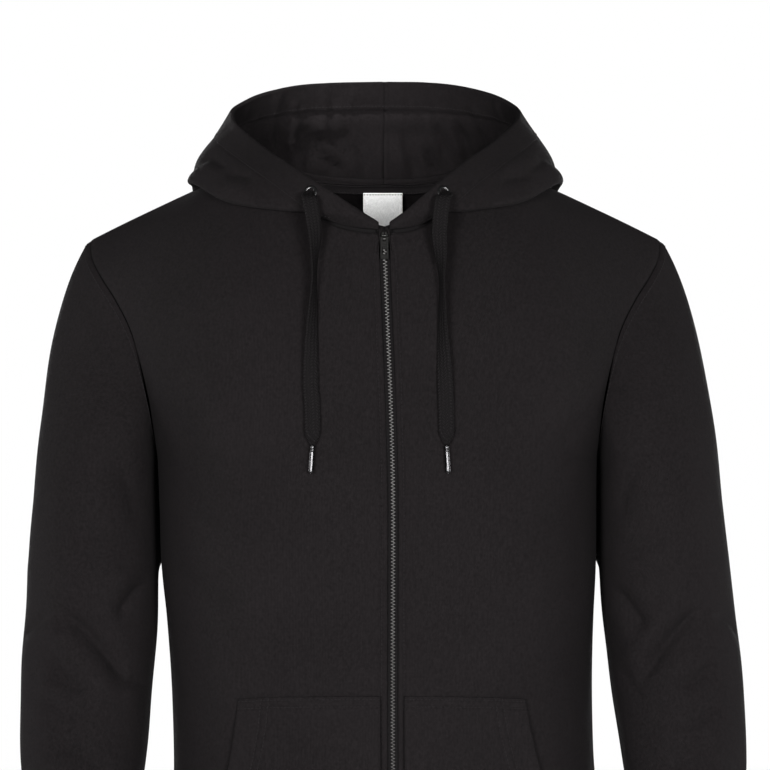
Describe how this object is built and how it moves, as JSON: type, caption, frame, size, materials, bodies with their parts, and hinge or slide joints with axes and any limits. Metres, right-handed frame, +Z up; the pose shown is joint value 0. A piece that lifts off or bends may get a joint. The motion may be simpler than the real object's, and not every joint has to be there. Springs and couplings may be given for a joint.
{
  "type": "zip up hoodie",
  "caption": "Long-sleeved zip-up hooded sweatshirt in plain dark fleece, filled out as worn, with hood down, split pocket, ribbed hem and cuffs, flat drawcords and a hinged zip pull.",
  "frame": {"origin": "midway between the high points of the two shoulder seams, where the garment is carried when it is worn", "axes": "+Z up, +X towards the side worn left, and the front with its zip faces -Y"},
  "size_m": [0.6368, 0.3331, 0.798],
  "materials": {
    "fleece": "matte near-black brushed fleece",
    "rib": "matte near-black rib knit",
    "braid": "matte near-black flat braid",
    "zip_tape": "near-black woven tape",
    "zip_metal": "polished nickel",
    "eyelet_metal": "black nickel",
    "aglet_metal": "black nickel",
    "label_satin": "plain white satin, blank"
  },
  "bodies": {
    "garment": {"front_right": "fleece", "front_left": "fleece", "back": "fleece", "sleeve_right": "fleece", "sleeve_left": "fleece", "hood_right": "fleece", "hood_left": "fleece", "neck_tape": "fleece", "pocket_right": "fleece", "pocket_left": "fleece", "hem_band": "rib", "cuff_right": "rib", "cuff_left": "rib", "zip_tape_right": "zip_tape", "zip_tape_left": "zip_tape", "zip_chain": "zip_metal", "zip_box": "zip_metal", "zip_stop_right": "zip_metal", "zip_stop_left": "zip_metal", "zip_slider": "zip_metal", "eyelet_right": "eyelet_metal", "eyelet_left": "eyelet_metal", "drawcord_right": "braid", "drawcord_left": "braid", "aglet_right": "aglet_metal", "aglet_left": "aglet_metal", "label": "label_satin"},
    "pull": {"zip_pull": "zip_metal"}
  },
  "joints": [
    {"name": "zip_pull_hinge", "type": "hinge", "parent": "garment", "child": "pull", "pos_m": [0.00829, -0.10747, -0.07568], "axis": [-1, 0, 0], "range_deg": [0, 140]}
  ]
}
